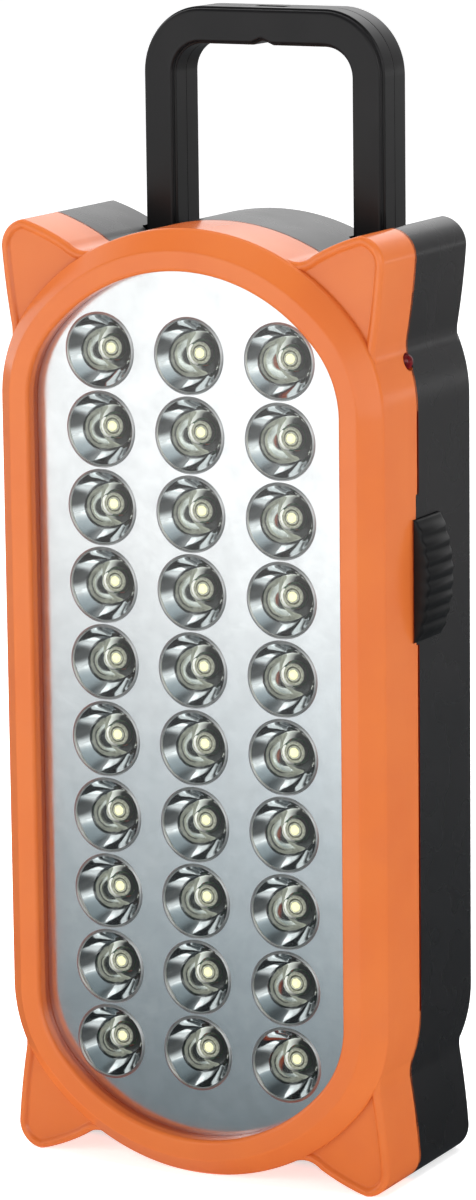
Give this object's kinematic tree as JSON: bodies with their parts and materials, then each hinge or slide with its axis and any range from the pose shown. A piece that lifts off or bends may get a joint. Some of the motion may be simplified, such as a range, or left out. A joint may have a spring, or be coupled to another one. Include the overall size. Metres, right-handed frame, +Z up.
{
  "type": "rechargeable hand lantern",
  "caption": "Flat upright hand lantern with a panel of mirrored LED cups behind a clear window, four ear-like corners, a pull-out U handle and a slide switch.",
  "frame": {"origin": "on the ground under the middle of the lamp body, on the flat that it stands on", "axes": "+X across the lantern towards the switch side, +Y from the lit front to the back, +Z up"},
  "size_m": [0.0906, 0.0497, 0.2364],
  "materials": {
    "orange_plastic": "glossy injection-moulded orange plastic",
    "black_plastic": "semi-gloss moulded black plastic",
    "handle_plastic": "semi-gloss moulded black plastic",
    "knob_plastic": "ribbed black plastic",
    "clear_window": "clear flat plastic window",
    "mirror_plating": "vacuum-metallised plastic",
    "led_epoxy": "clear epoxy dome over a pale yellow phosphor",
    "indicator_epoxy": "dark red epoxy",
    "circuit_board": "green circuit board laminate",
    "battery_case": "grey battery case",
    "capacitor_resin": "dipped red resin",
    "plated_steel": "zinc-plated steel",
    "pin_brass": "bright brass",
    "red_insulation": "PVC wire insulation",
    "black_insulation": "PVC wire insulation"
  },
  "bodies": {
    "housing": {"front_housing": "orange_plastic", "rear_housing": "black_plastic", "handle_retainer": "black_plastic", "ac_inlet": "black_plastic", "window_lens": "clear_window", "reflector_panel": "mirror_plating", "led_01_1": "led_epoxy", "led_01_2": "led_epoxy", "led_01_3": "led_epoxy", "led_02_1": "led_epoxy", "led_02_2": "led_epoxy", "led_02_3": "led_epoxy", "led_03_1": "led_epoxy", "led_03_2": "led_epoxy", "led_03_3": "led_epoxy", "led_04_1": "led_epoxy", "led_04_2": "led_epoxy", "led_04_3": "led_epoxy", "led_05_1": "led_epoxy", "led_05_2": "led_epoxy", "led_05_3": "led_epoxy", "led_06_1": "led_epoxy", "led_06_2": "led_epoxy", "led_06_3": "led_epoxy", "led_07_1": "led_epoxy", "led_07_2": "led_epoxy", "led_07_3": "led_epoxy", "led_08_1": "led_epoxy", "led_08_2": "led_epoxy", "led_08_3": "led_epoxy", "led_09_1": "led_epoxy", "led_09_2": "led_epoxy", "led_09_3": "led_epoxy", "led_10_1": "led_epoxy", "led_10_2": "led_epoxy", "led_10_3": "led_epoxy", "indicator_led": "indicator_epoxy", "led_board": "circuit_board", "charger_board": "circuit_board", "switch_body": "circuit_board", "battery": "battery_case", "film_capacitor": "capacitor_resin", "battery_bracket": "plated_steel", "retainer_screw": "plated_steel", "housing_screw_upper_right": "plated_steel", "housing_screw_upper_left": "plated_steel", "housing_screw_lower_left": "plated_steel", "housing_screw_lower_right": "plated_steel", "inlet_pin_upper": "pin_brass", "inlet_pin_lower": "pin_brass", "battery_lead_positive": "red_insulation", "led_lead": "red_insulation", "inlet_lead_lower": "red_insulation", "battery_lead_negative": "black_insulation", "inlet_lead_upper": "black_insulation", "switch_lead": "black_insulation"},
    "handle": {"handle_front_half": "handle_plastic", "handle_rear_half": "handle_plastic"},
    "switch": {"switch_knob": "knob_plastic", "switch_lever": "plated_steel"}
  },
  "joints": [
    {"name": "handle_slide", "type": "slide", "parent": "housing", "child": "handle", "axis": [0, 0, 1], "range_m": [-0.033, 0]},
    {"name": "switch_slide", "type": "slide", "parent": "housing", "child": "switch", "axis": [0, 0, 1], "range_m": [0, 0.0045]}
  ]
}
